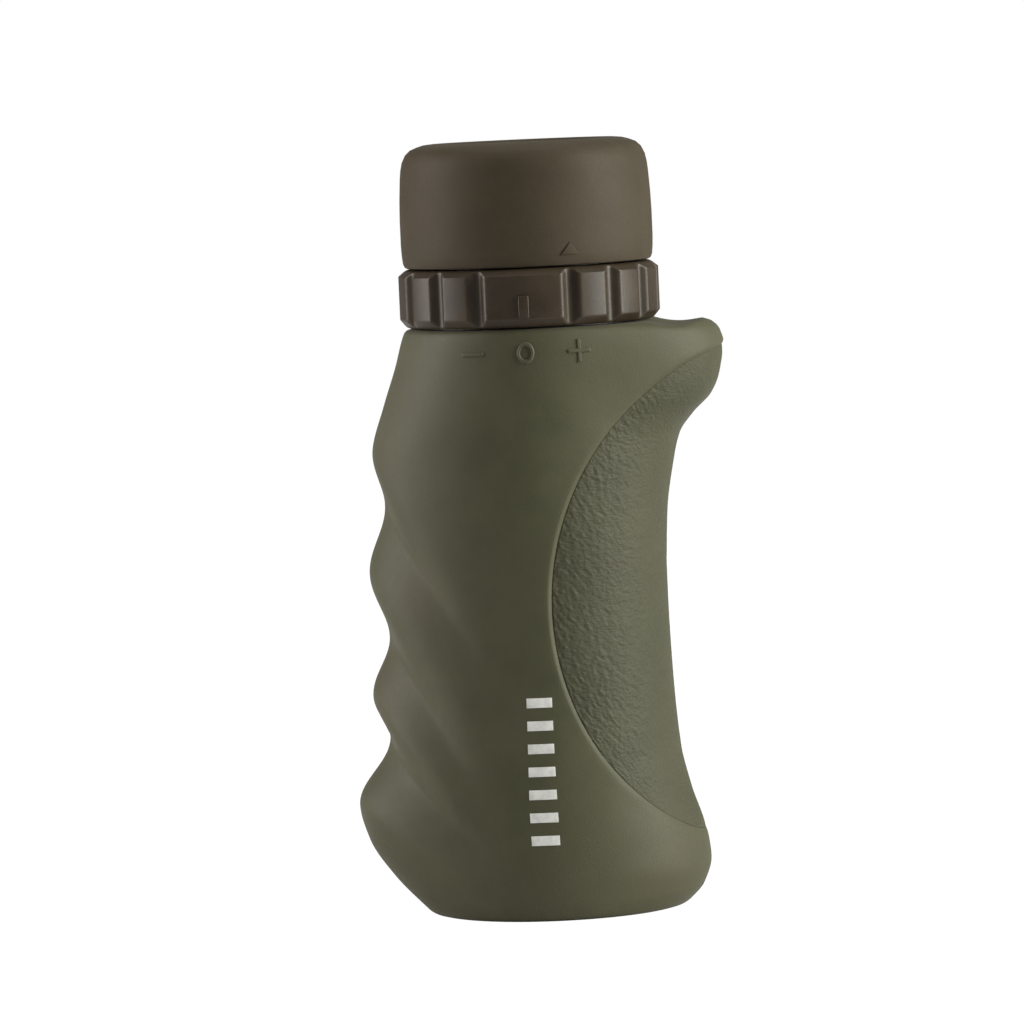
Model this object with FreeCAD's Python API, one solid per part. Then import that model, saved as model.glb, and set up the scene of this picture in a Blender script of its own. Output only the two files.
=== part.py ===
import FreeCAD
import Part
import math
import os

# Hand-grip roof-prism monocular, 8 x 32 class. Units: mm, +Z up.
# The origin is the centre of the objective mouth, on the plane the foot stands on.
# +Z runs along the optical axis to the eyepiece, -Y is the face with the focus scale,
# -X carries the finger grooves and +X the palm pad with its beak.

V = FreeCAD.Vector
UP = V(0, 0, 1)
ZERO = V(0, 0, 0)

# ---------------------------------------------------------------- driving sizes
BOND = 0.05                 # glue, thread or slip gap between neighbouring pieces
RUN = 0.05                  # radial clearance of a running fit

# rubber armour, outline as (height, reach) stations
BODY_TOP = 91.9
FINGER_SIDE = ((0, 19.5), (6, 25.1), (12, 28.9), (17.5, 30.2), (26, 28.7), (35, 27.3),
               (54, 27.0), (73, 25.7), (80, 23.6), (86, 21.5), (91, 20.0), (91.9, 19.5))
PALM_SIDE = ((0, 20.8), (3, 23.6), (7, 24.85), (12, 24.2), (18, 22.4), (25, 21.0),
             (36, 20.4), (50, 20.15), (70, 20.3), (86, 20.2), (91, 19.9), (91.9, 19.5))
HALF_DEPTH = ((0, 19.5), (3, 20.2), (8, 20.7), (25, 20.6), (50, 20.4), (80, 20.3),
              (88, 20.15), (91, 19.9), (91.9, 19.5))
BEAK = ((54, 0), (62, 0.4), (70, 1.7), (74, 2.8), (77, 5.0), (80, 8.0), (83, 9.4),
        (87, 9.9), (90, 9.3), (91.2, 8.4), (91.9, 7.2))
BEAK_SPREAD = math.radians(36)
BEAK_DIP_X = 23.4           # hollow across the top of the beak
BEAK_DIP_R = 7.8
BEAK_DIP_FLOOR = 90.9

# finger grooves: height at the side, depth, reach below, reach above, sweep down the face
GROOVES = ((27.3, 3.5, 9.8, 7.4, 10.8), (43.7, 2.85, 9.0, 10.3, 15.3), (64.0, 2.4, 10.0, 9.3, 15.3))
GROOVE_FULL = math.radians(10)
GROOVE_FADE = math.radians(72)

# palm pad, bounded by a cylinder across the grip
PAD_X = 43.9
PAD_Z = 48.3
PAD_R = 41.6
PAD_SUNK = 0.5
PAD_THICK = 1.5
PAD_FROM = 4.5
PAD_TO = 91.0

# focus scale on the armour
MARK_Z = 88.3
MARK_STEP = 23.5            # degrees from the nought to the minus and to the plus
MARK_RAISE = 0.3
MARK_STROKE = 0.6
MARK_SIZE = 3.6
MARK_BACK = 8.0             # how deep a mark's blank reaches into the armour
MARK_FRONT = 24.0
MARK_BAND = 3.0
NOUGHT_OUT = 0.92           # outer and inner radius of the nought, in half mark sizes
NOUGHT_IN = 0.55

# metal chassis
MOUTH_R = 17.0
CHASSIS_FROM = 3.1
CHASSIS_TO = 88.8
CHASSIS_WALL = 1.5
CHASSIS_FINGER = ((3.1, 18.9), (13, 18.9), (24, 22.4), (45, 22.0), (64, 21.6), (74, 20.8),
                  (84, 17.6), (91.9, 17.4))
CHASSIS_PALM = ((3.1, 18.9), (11, 18.9), (20, 17.6), (45, 17.5), (91.9, 17.4))
CHASSIS_DEPTH = ((3.1, 18.6), (13, 18.6), (22, 17.6), (45, 17.5), (91.9, 17.4))
CELL_BORE_R = 17.4
CELL_BORE_TO = 16.7
LEDGE_FROM = 47.0
LEDGE_TO = 49.0
LEDGE_HOLE_R = 13.0
LEDGE_TAP_R = 0.75
CAP_SPIGOT = 2.0
CAP_SPIGOT_R = 15.8
CAP_SLEEVE_GAP = 0.4
SEAL_BELOW_TOP = 1.5

# objective
CLEAR_R = 16.0
LENS_R = 16.3
CELL_FROM = 5.6
CELL_TO = 16.6
CELL_SEAT = 14.5
CELL_HOLE_R = 15.6
CROWN_VERTEX = 7.0
CROWN_THICK = 6.2
CROWN_R1 = 62.0
CROWN_R2 = 52.0
FLINT_THICK = 2.0
FLINT_R2 = 150.0
RETAINER_FROM = 7.3
RETAINER_TO = 8.9
SEAL_WIRE_R = 0.42
BAFFLE_FROM = 17.0
BAFFLE_TO = 46.9
BAFFLE_LOW_R = 15.6
BAFFLE_HIGH_R = 9.6
BAFFLE_WALL = 0.7
BAFFLE_STEPS = 3
BAFFLE_STEP_IN = 1.4
SPANNER_NOTCH = 1.2
SPANNER_DEEP = 0.6

# prisms
APERTURE = 17.0
PRISM_GAP = 0.15
PRISM_HEIGHT = 1.2071 * APERTURE
PENTA_END = 0.7            # far end of the lower prism, in apertures
CAGE_PLATE = 2.0
CAGE_R = 15.8
CAGE_WALL = 2.0
CAGE_HALF = 11.5
BRIDGE_FROM = 74.0
BRIDGE_THICK = 1.5
CLIP_THICK = 0.5
CLIP_LENGTH = 22.0
CLIP_FOOT = 2.0
CLIP_FEET = ((-9, -6.5), (-9, 4.5), (7, -6.5), (7, 4.5))
BRIDGE_SCREW = (10.6, 9.6)
BRIDGE_SCREW_SIZE = (1.15, 0.8, 0.6, 5.2)   # head radius, head height, shank radius, length
BRIDGE_TAP_R = 0.65
CAGE_SCREW_Y = 14.4
CAGE_SCREW_SIZE = (1.2, 0.9, 0.7, 3.6)
SCREW_HOLE_R = 0.8

# eyepiece
TUBE_R = 13.0
TUBE_BORE = 12.0
TUBE_TOP = 113.0
TUBE_FLOOR = 2.2
TUBE_SPIGOT_R = 10.5
TUBE_LIGHT_R = 9.0
FIELD_STOP_Z = 90.2
FIELD_STOP_HOLE = 7.0
FIELD_STOP_THICK = 0.8
# eyepiece lenses: lower vertex, lower radius, upper vertex, upper radius
FIELD_LENS = (91.4, 400.0, 95.6, 34.0)
EYEPIECE_FLINT = (98.2, -140.0, 99.7, -26.0)
EYEPIECE_CROWN = (99.725, -26.0, 105.6, 30.0)
EYE_LENS = (106.5, -60.0, 110.6, 48.0)
SPACER_HOLE = 11.1
LOWER_SPACER = (93.9, 98.5)
UPPER_SPACER = (103.7, 107.4)
EYE_RETAINER = ((11.95, 109.5), (11.95, 112.6), (11.2, 112.6), (10.2, 110.4), (11.0, 109.5))
EYE_NOTCH_FROM = 112.0

# focusing: ring and cam sleeve turn, the inner lens cell slides
FOCUS_LEAD = 3.6            # mm of slide per radian of ring
FOCUS_HALF_TURN = 30.0
RING_FROM = 92.2
RING_TO = 101.2
RING_R = 20.4
RING_LOW_R = 19.35
RING_HIGH_R = 19.15
RING_LOW_EDGE = 93.45
RING_HIGH_EDGE = 100.2
RING_BORE = 15.05
RING_DIVISIONS = 17
RING_GROOVE_FLOOR = 0.85
RING_GROOVE_MOUTH = 2.9
RING_GROOVE_DEPTH = 1.0
INDEX_WIDTH = 1.6
INDEX_FROM = 93.6
INDEX_TO = 97.1
INDEX_RAISE = 0.5
SLEEVE_R = 14.2
SLEEVE_FROM = 78.6
SLEEVE_HUB_R = 15.0
SLEEVE_HUB_FROM = 92.3
SLEEVE_TO = 100.9
PIN_R = 0.8
PIN_Z = 83.0
PIN_COUNT = 3
CELL_HALF = 3.0
FOCUS_CELL_R = TUBE_BORE - RUN
FOCUS_CELL_BORE = 9.6
FOCUS_CELL_LIP = 1.0
FOCUS_LENS = (1.1, 45.0, 2.7, -60.0)        # vertices above the cell's lip, and radii
FOCUS_PIN_IN = 10.95
FOCUS_SLOT_SPARE = 5.0      # degrees of cam slot past each end of the travel

# twist-up eyecup
CUP_LEAD = 4.5              # mm of lift per radian of twist
CUP_TURN = 90.0
GUIDE_FROM = 101.4
GUIDE_R = 16.0
GUIDE_NECK_R = 14.8
GUIDE_NECK_TO = 102.9
CLICK_FROM = 101.6
CLICK_TO = 102.7
KEY_HALF = 1.5
KEY_TOP = 110.5             # the drive fingers stay in their keyways at full lift
KEY_R = 16.7
KEYWAY_R = 16.85
KEYWAY_TOP = 111.4
CUP_PIN_R = 0.9
CUP_PIN_Z = 104.4
CUP_PIN_IN = 15.1
CUP_GROOVE_R = 15.0
CUP_SLEEVE_R = 17.6
CUP_SLEEVE_FROM = 101.6
CUP_SLEEVE_TO = 119.0
CUP_SHOULDER = 113.4
CUP_WELL_R = 13.4
CUP_FROM = 101.45
CUP_FOOT_R = 19.2
CUP_BAND_R = 19.75
CUP_BAND_FROM = 105.0
CUP_BAND_TO = 109.0
CUP_TOP = 120.7
CUP_LIP_R = 12.9
CUP_GROOVE_SPARE = 4.5      # degrees of groove past each end of the twist
ARROW_TURN = 22.0
ARROW_FROM = 103.1
ARROW_TO = 105.0
ARROW_HALF = 1.5
ARROW_RAISE = 0.25

SECTION_POINTS = 60
SECTION_STEP = 1.6
RAMP_STEPS = 12


# ---------------------------------------------------------------- small helpers
def reach(stations, z):
    """Smooth curve through (height, reach) stations."""
    last = len(stations) - 1
    i = 0
    while i < last - 1 and z > stations[i + 1][0]:
        i += 1
    z0, r0 = stations[i]
    z1, r1 = stations[i + 1]
    slope = (r1 - r0) / (z1 - z0)
    m0 = slope
    m1 = slope
    if i > 0:
        m0 = gentle(slope, (r0 - stations[i - 1][1]) / (z0 - stations[i - 1][0]))
    if i < last - 1:
        m1 = gentle(slope, (stations[i + 2][1] - r1) / (stations[i + 2][0] - z1))
    h = z1 - z0
    t = min(max((z - z0) / h, 0.0), 1.0)
    rise = (2 * t ** 3 - 3 * t ** 2 + 1) * r0 + (3 * t ** 2 - 2 * t ** 3) * r1
    return rise + ((t ** 3 - 2 * t ** 2 + t) * m0 + (t ** 3 - t ** 2) * m1) * h


def gentle(a, b):
    """Slope at a station: harmonic mean of its two sides, level at a peak."""
    if a * b <= 0:
        return 0.0
    return 2 * a * b / (a + b)


def ring(r_out, r_in, z0, z1):
    outer = Part.makeCylinder(r_out, z1 - z0, V(0, 0, z0))
    return outer.cut(Part.makeCylinder(r_in, z1 - z0, V(0, 0, z0)))


def turned(points):
    """Solid of revolution about Z from (radius, height) points."""
    wire = Part.makePolygon([V(r, 0, z) for r, z in points] + [V(points[0][0], 0, points[0][1])])
    return Part.Face(wire).revolve(ZERO, UP, 360)


def sag(radius, r):
    return radius - math.sqrt(radius ** 2 - r ** 2)


def lens(r, z_low, r_low, z_high, r_high):
    """Lens between two spherical faces; a positive radius bulges up, a negative one down."""
    low_edge = z_low + math.copysign(sag(abs(r_low), r), -r_low)
    high_edge = z_high - math.copysign(sag(abs(r_high), r), r_high)
    low_mid = z_low + math.copysign(sag(abs(r_low), r / 2), -r_low)
    high_mid = z_high - math.copysign(sag(abs(r_high), r / 2), r_high)
    low = Part.Arc(V(0, 0, z_low), V(r / 2, 0, low_mid), V(r, 0, low_edge)).toShape()
    rim = Part.makeLine(V(r, 0, low_edge), V(r, 0, high_edge))
    high = Part.Arc(V(r, 0, high_edge), V(r / 2, 0, high_mid), V(0, 0, z_high)).toShape()
    axis = Part.makeLine(V(0, 0, z_high), V(0, 0, z_low))
    return Part.Face(Part.Wire([low, rim, high, axis])).revolve(ZERO, UP, 360)


def spun(shape, count, start=0.0):
    """Copies of a shape spread evenly about Z."""
    copies = []
    for i in range(count):
        copy = shape.copy()
        copy.rotate(ZERO, UP, start + i * 360.0 / count)
        copies.append(copy)
    return copies


def cut_all(shape, tools):
    for tool in tools:
        shape = shape.cut(tool)
    return shape


def radial_pin(r, r_in, r_out, z):
    return Part.makeCylinder(r, r_out - r_in, V(r_in, 0, z), V(1, 0, 0))


def ramp(r_in, r_out, half_height, z_mid, lead, turn_from, turn_to):
    """Solid that follows a helix: the cutter for a cam slot or groove."""
    walls = []
    for i in range(RAMP_STEPS + 1):
        turn = turn_from + (turn_to - turn_from) * i / RAMP_STEPS
        z = z_mid + lead * math.radians(turn)
        c = math.cos(math.radians(turn))
        s = math.sin(math.radians(turn))
        corners = [(r_in, -half_height), (r_out, -half_height), (r_out, half_height),
                   (r_in, half_height), (r_in, -half_height)]
        walls.append(Part.makePolygon([V(r * c, r * s, z + h) for r, h in corners]))
    return Part.makeLoft(walls, True, False)


def screw(x, y, z_seat, size):
    """Slotted cheese-head screw; size is head radius, head height, shank radius and length."""
    head_r, head_h, shank_r, depth = size
    head = Part.makeCylinder(head_r, head_h, V(x, y, z_seat))
    corner = V(x - head_r, y - head_h / 6, z_seat + head_h / 2)
    slot = Part.makeBox(2 * head_r, head_h / 3, head_h / 2, corner)
    shank = Part.makeCylinder(shank_r, depth, V(x, y, z_seat - depth))
    return head.cut(slot).fuse(shank)


# ---------------------------------------------------------------- grip surface
def groove_depth(phi, z):
    """Depth of the finger grooves at angle phi round from -X and height z."""
    fade = min(max((phi - GROOVE_FULL) / GROOVE_FADE, 0.0), 1.0)
    strength = math.cos(fade * math.pi / 2) ** 2
    depth = 0.0
    for z_side, deep, below, above, sweep in GROOVES:
        s = z - (z_side - sweep * phi ** 2)
        s = s / above if s > 0 else -s / below
        if s < 1:
            depth += deep * strength * (0.5 + 0.5 * math.cos(math.pi * s))
    return depth


def grip_point(turn, z, inset):
    """Point of the armour's outside; turn is measured from +X, inset goes inwards."""
    c = math.cos(turn)
    s = math.sin(turn)
    phi = math.asin(min(abs(s), 1.0))
    dent = 0.0
    if c >= 0:
        bulge = reach(BEAK, z) * math.exp(-(phi / BEAK_SPREAD) ** 2) if z > BEAK[0][0] else 0.0
        x = (reach(PALM_SIDE, z) + bulge) * c
        y = (reach(HALF_DEPTH, z) + bulge) * s
    else:
        x = reach(FINGER_SIDE, z) * c
        y = reach(HALF_DEPTH, z) * s
        dent = groove_depth(phi, z)
    k = 1 - (dent + inset) / math.hypot(x, y)
    return V(x * k, y * k, z)


def closed_wire(points):
    """Smooth closed section; every section has the same knots, so a loft of them stays light."""
    knots = [i / len(points) for i in range(len(points) + 1)]
    curve = Part.BSplineCurve()
    curve.interpolate(Points=points, PeriodicFlag=True, Parameters=knots)
    return Part.Wire(curve.toShape())


def heights(z0, z1, step):
    count = max(int(round((z1 - z0) / step)), 2)
    return [z0 + (z1 - z0) * i / count for i in range(count + 1)]


def grip_solid(inset, z0, z1):
    turns = [2 * math.pi * i / SECTION_POINTS for i in range(SECTION_POINTS)]
    wires = []
    for z in heights(z0, z1, SECTION_STEP):
        wires.append(closed_wire([grip_point(turn, z, inset) for turn in turns]))
    return Part.makeLoft(wires, True, False)


def oval_solid(inset, z0, z1):
    """The chassis outline, shrunk by inset. Its sections always stand at the same heights."""
    turns = [2 * math.pi * i / SECTION_POINTS for i in range(SECTION_POINTS)]
    wires = []
    for z in heights(CHASSIS_FROM - 1, BODY_TOP + 1, 2 * SECTION_STEP):
        points = []
        for turn in turns:
            side = CHASSIS_PALM if math.cos(turn) >= 0 else CHASSIS_FINGER
            x = (reach(side, z) - inset) * math.cos(turn)
            y = (reach(CHASSIS_DEPTH, z) - inset) * math.sin(turn)
            points.append(V(x, y, z))
        wires.append(closed_wire(points))
    trim = Part.makeCylinder(2 * PAD_R, z1 - z0, V(0, 0, z0))
    return Part.makeLoft(wires, True, False).common(trim)


def pad_cylinder(r):
    return Part.makeCylinder(r, 80, V(PAD_X, -40, PAD_Z), V(0, 1, 0))


def scale_marks():
    """The minus, nought and plus of the focus scale, as raised prisms on the -Y face."""
    s = MARK_STROKE / 2
    h = MARK_SIZE / 2
    bar = Part.makeBox(2 * h, MARK_BACK, 2 * s, V(-h, -MARK_FRONT, MARK_Z - s))
    post = Part.makeBox(2 * s, MARK_BACK, 2 * h, V(-s, -MARK_FRONT, MARK_Z - h))
    minus = bar.copy()
    plus = bar.fuse(post)
    middle = V(0, -MARK_FRONT, MARK_Z)
    nought = Part.makeCylinder(h * NOUGHT_OUT, MARK_BACK, middle, V(0, 1, 0))
    nought = nought.cut(Part.makeCylinder(h * NOUGHT_IN, MARK_BACK, middle, V(0, 1, 0)))
    minus.rotate(ZERO, UP, -MARK_STEP)
    plus.rotate(ZERO, UP, MARK_STEP)
    return minus, nought, plus


# ---------------------------------------------------------------- body
def armour_grip():
    body = grip_solid(0, 0, BODY_TOP)
    floor = grip_solid(PAD_SUNK + PAD_THICK + BOND, PAD_FROM - 1, PAD_TO + 0.9)
    pocket = pad_cylinder(PAD_R).cut(floor)
    body = body.cut(pocket)
    middle = V(BEAK_DIP_X, -PAD_R, BEAK_DIP_FLOOR + BEAK_DIP_R)
    body = body.cut(Part.makeCylinder(BEAK_DIP_R, 2 * PAD_R, middle, V(0, 1, 0)))
    skin = grip_solid(-MARK_RAISE, MARK_Z - MARK_BAND, MARK_Z + MARK_BAND)
    for mark in scale_marks():
        body = body.fuse(mark.common(skin))
    body = body.cut(oval_solid(-BOND, CHASSIS_FROM - BOND, BODY_TOP + 0.9))
    return body.cut(Part.makeCylinder(MOUTH_R, CHASSIS_FROM, ZERO))


def palm_pad():
    bound = pad_cylinder(PAD_R - BOND)
    skin = grip_solid(PAD_SUNK, PAD_FROM, PAD_TO).common(bound)
    core = grip_solid(PAD_SUNK + PAD_THICK, PAD_FROM - 1, PAD_TO + 0.9).common(bound)
    return skin.cut(core)


def chassis():
    shell = oval_solid(0, CHASSIS_FROM, CHASSIS_TO)
    bore = Part.makeCylinder(CELL_BORE_R, CELL_BORE_TO - CHASSIS_FROM, V(0, 0, CHASSIS_FROM))
    shell = shell.cut(bore)
    shell = shell.cut(oval_solid(CHASSIS_WALL, CELL_BORE_TO - 0.5, LEDGE_FROM))
    shell = shell.cut(oval_solid(CHASSIS_WALL, LEDGE_TO, CHASSIS_TO))
    shell = shell.cut(Part.makeCylinder(LEDGE_HOLE_R, 3, V(0, 0, LEDGE_FROM - 0.5)))
    for side in (-1, 1):
        tap = Part.makeCylinder(LEDGE_TAP_R, 4, V(0, side * CAGE_SCREW_Y, LEDGE_FROM - 1))
        shell = shell.cut(tap)
    return shell


def top_cap():
    plate = oval_solid(0, CHASSIS_TO + BOND, BODY_TOP)
    spigot = Part.makeCylinder(CAP_SPIGOT_R, CAP_SPIGOT, V(0, 0, CHASSIS_TO + BOND - CAP_SPIGOT))
    cap = plate.fuse(spigot)
    bore = Part.makeCylinder(SLEEVE_R + CAP_SLEEVE_GAP, 9, V(0, 0, CHASSIS_TO - 4))
    return cap.cut(bore).cut(seal_ring(SEAL_WIRE_R + BOND))


def seal_ring(wire_r):
    """The seal round the cam sleeve, or the cutter for its groove."""
    middle = V(0, 0, BODY_TOP - SEAL_BELOW_TOP)
    return Part.makeTorus(SLEEVE_R + RUN + SEAL_WIRE_R, wire_r, middle)


def body_seal():
    return seal_ring(SEAL_WIRE_R)


# ---------------------------------------------------------------- objective
def objective_cell():
    bore = LENS_R + BOND
    wall_r = CELL_BORE_R - BOND
    groove_z = (CELL_SEAT + CELL_TO) / 2
    cell = turned([(bore, CELL_FROM), (wall_r, CELL_FROM), (wall_r, CELL_TO),
                   (CELL_HOLE_R, CELL_TO), (CELL_HOLE_R, CELL_SEAT), (bore, CELL_SEAT)])
    seat = ring(wall_r + 1, wall_r - 2 * SEAL_WIRE_R - BOND, groove_z - 0.5, groove_z + 0.5)
    return cell.cut(seat)


def objective_o_ring():
    middle = V(0, 0, (CELL_SEAT + CELL_TO) / 2)
    return Part.makeTorus(CELL_BORE_R - BOND / 2 - SEAL_WIRE_R, SEAL_WIRE_R, middle)


def objective_crown():
    return lens(LENS_R, CROWN_VERTEX, -CROWN_R1, CROWN_VERTEX + CROWN_THICK, CROWN_R2)


def objective_flint():
    base = CROWN_VERTEX + CROWN_THICK + BOND / 2
    return lens(LENS_R, base, CROWN_R2, base + FLINT_THICK, FLINT_R2)


def objective_retainer():
    body = turned([(LENS_R, RETAINER_FROM), (LENS_R, RETAINER_TO), (CLEAR_R - 0.5, RETAINER_TO),
                   (CLEAR_R - 0.2, RETAINER_FROM)])
    corner = V(-LENS_R - 1, -SPANNER_NOTCH / 2, RETAINER_FROM)
    return body.cut(Part.makeBox(2 * LENS_R + 2, SPANNER_NOTCH, SPANNER_DEEP, corner))


def objective_baffle():
    low = BAFFLE_LOW_R
    high = BAFFLE_HIGH_R
    cone = turned([(low, BAFFLE_FROM), (low, BAFFLE_FROM + 1), (high, BAFFLE_TO),
                   (high - BAFFLE_WALL, BAFFLE_TO), (low - BAFFLE_WALL, BAFFLE_FROM + 1),
                   (low - BAFFLE_WALL, BAFFLE_FROM)])
    for i in range(1, BAFFLE_STEPS + 1):
        share = i / (BAFFLE_STEPS + 1)
        z = BAFFLE_FROM + share * (BAFFLE_TO - BAFFLE_FROM)
        r = low + (high - low) * share
        cone = cone.fuse(ring(r - BAFFLE_WALL / 2, r - BAFFLE_STEP_IN, z - 0.25, z + 0.25))
    return cone


# ---------------------------------------------------------------- prisms
def prism_block(points):
    """Straight glass block from (x, z) points, as deep as the aperture."""
    wire = Part.makePolygon([V(x, -APERTURE / 2, z) for x, z in points + [points[0]]])
    return Part.Face(wire).extrude(V(0, APERTURE, 0))


def half_penta_prism():
    """Lower prism: level entrance, back face at 67.5 degrees, exit along the 45 degree gap."""
    half = APERTURE / 2
    z0 = LEDGE_TO + CAGE_PLATE + BOND
    shift = PRISM_GAP * math.sqrt(2)
    x_end = PENTA_END * APERTURE
    back_top = z0 + (x_end - half) * math.tan(math.radians(67.5))
    exit_top = z0 + x_end + half - shift
    return prism_block([(shift - half, z0), (half, z0), (x_end, back_top), (x_end, exit_top)])


def roof_prism():
    """Upper prism: entrance along the 45 degree gap, level exit, two roof faces to -X."""
    half = APERTURE / 2
    z0 = LEDGE_TO + CAGE_PLATE + BOND
    top = PRISM_HEIGHT
    low = V(-half, 0, z0)
    high = V(-APERTURE, 0, z0 + top)
    block = prism_block([(low.x, low.z), (top - half, high.z), (high.x, high.z)])
    ridge = high - low
    ridge.normalize()
    inward = V(ridge.z, 0, -ridge.x)
    wide = 2 * APERTURE
    start = low - ridge * wide
    corners = [start, start + (V(0, 1, 0) + inward) * wide, start + (V(0, -1, 0) + inward) * wide, start]
    roof = Part.Face(Part.makePolygon(corners)).extrude(ridge * 3 * wide)
    return block.common(roof)


def prism_cage():
    z0 = LEDGE_TO + BOND
    z1 = BRIDGE_FROM - BOND
    side = APERTURE / 2 + 0.1
    cage = Part.makeCylinder(CAGE_R, CAGE_PLATE - BOND, V(0, 0, z0))
    cage = cage.cut(Part.makeCylinder(APERTURE / 2 - 1, 5, V(0, 0, z0 - 1)))
    for y in (side, -side - CAGE_WALL):
        cage = cage.fuse(Part.makeBox(2 * CAGE_HALF, CAGE_WALL, z1 - z0, V(-CAGE_HALF, y, z0)))
    for x in (-1, 1):
        for y in (-1, 1):
            at = V(x * BRIDGE_SCREW[0], y * BRIDGE_SCREW[1], z1 - 4.5)
            cage = cage.cut(Part.makeCylinder(BRIDGE_TAP_R, 6, at))
    for y in (-1, 1):
        cage = cage.cut(Part.makeCylinder(SCREW_HOLE_R, 5, V(0, y * CAGE_SCREW_Y, z0 - 1)))
    return cage


def cage_screws():
    z = LEDGE_TO + CAGE_PLATE + BOND
    return Part.makeCompound([screw(0, y * CAGE_SCREW_Y, z, CAGE_SCREW_SIZE) for y in (-1, 1)])


def prism_clip():
    z0 = LEDGE_TO + CAGE_PLATE + 2 * BOND + PRISM_HEIGHT
    wide = APERTURE - 0.4
    plate = Part.makeBox(CLIP_LENGTH, wide, CLIP_THICK, V(-CLIP_LENGTH / 2, -wide / 2, z0))
    for x, y in CLIP_FEET:
        plate = plate.fuse(Part.makeBox(CLIP_FOOT, CLIP_FOOT, BRIDGE_FROM - BOND - z0, V(x, y, z0)))
    return plate.cut(Part.makeCylinder(APERTURE / 2 - 0.9, 3, V(0, 0, z0 - 1)))


def eyepiece_bridge():
    plate = Part.makeCylinder(CAGE_R, BRIDGE_THICK, V(0, 0, BRIDGE_FROM))
    plate = plate.cut(Part.makeCylinder(TUBE_SPIGOT_R + BOND, 3, V(0, 0, BRIDGE_FROM - 1)))
    for x in (-1, 1):
        for y in (-1, 1):
            at = V(x * BRIDGE_SCREW[0], y * BRIDGE_SCREW[1], BRIDGE_FROM - 1)
            plate = plate.cut(Part.makeCylinder(SCREW_HOLE_R, 3, at))
    return plate


def bridge_screws():
    z = BRIDGE_FROM + BRIDGE_THICK + BOND
    screws = []
    for x in (-1, 1):
        for y in (-1, 1):
            screws.append(screw(x * BRIDGE_SCREW[0], y * BRIDGE_SCREW[1], z, BRIDGE_SCREW_SIZE))
    return Part.makeCompound(screws)


# ---------------------------------------------------------------- eyepiece
def eyepiece_tube():
    z0 = BRIDGE_FROM + BRIDGE_THICK + BOND
    tube = Part.makeCylinder(TUBE_R, TUBE_TOP - z0, V(0, 0, z0))
    tube = tube.cut(Part.makeCylinder(TUBE_BORE, TUBE_TOP, V(0, 0, z0 + TUBE_FLOOR)))
    tube = tube.fuse(Part.makeCylinder(TUBE_SPIGOT_R, 2, V(0, 0, z0 - 1.4)))
    tube = tube.cut(Part.makeCylinder(TUBE_LIGHT_R, 6, V(0, 0, z0 - 2)))
    travel = FOCUS_LEAD * math.radians(FOCUS_HALF_TURN)
    half = travel + PIN_R + 0.1
    slot = Part.makeBox(4, 2 * (PIN_R + RUN), 2 * half, V(TUBE_BORE - 1, -PIN_R - RUN, PIN_Z - half))
    return cut_all(tube, spun(slot, PIN_COUNT, 30))


def field_stop():
    return ring(TUBE_BORE - BOND, FIELD_STOP_HOLE, FIELD_STOP_Z, FIELD_STOP_Z + FIELD_STOP_THICK)


def field_lens():
    return lens(TUBE_BORE - BOND, *FIELD_LENS)


def lens_spacer_lower():
    return ring(TUBE_BORE - BOND, SPACER_HOLE, *LOWER_SPACER)


def eyepiece_flint():
    return lens(TUBE_BORE - BOND, *EYEPIECE_FLINT)


def eyepiece_crown():
    return lens(TUBE_BORE - BOND, *EYEPIECE_CROWN)


def lens_spacer_upper():
    return ring(TUBE_BORE - BOND, SPACER_HOLE, *UPPER_SPACER)


def eye_lens():
    return lens(TUBE_BORE - BOND, *EYE_LENS)


def eye_lens_retainer():
    corner = V(-TUBE_BORE, -SPANNER_NOTCH / 2, EYE_NOTCH_FROM)
    return turned(EYE_RETAINER).cut(Part.makeBox(2 * TUBE_BORE, SPANNER_NOTCH, 1, corner))


def eyecup_guide():
    base = turned([(TUBE_R + BOND, GUIDE_FROM), (GUIDE_NECK_R, GUIDE_FROM),
                   (GUIDE_NECK_R, GUIDE_NECK_TO), (GUIDE_R, GUIDE_NECK_TO), (GUIDE_R, TUBE_TOP),
                   (TUBE_R + BOND, TUBE_TOP)])
    lean = math.cos(math.atan(CUP_LEAD / GUIDE_R))
    half = (CUP_PIN_R + RUN) / lean + 0.03
    groove = ramp(CUP_GROOVE_R, GUIDE_R + 1, half, CUP_PIN_Z, CUP_LEAD, -CUP_GROOVE_SPARE,
                  CUP_TURN + CUP_GROOVE_SPARE)
    return cut_all(base, spun(groove, PIN_COUNT))


def ring_washer_lower():
    return ring(17.0, SLEEVE_R + 0.5, BODY_TOP + BOND, RING_FROM - BOND)


def ring_washer_upper():
    return ring(14.6, TUBE_R + 0.3, SLEEVE_TO + 0.1, GUIDE_FROM - BOND)


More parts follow.
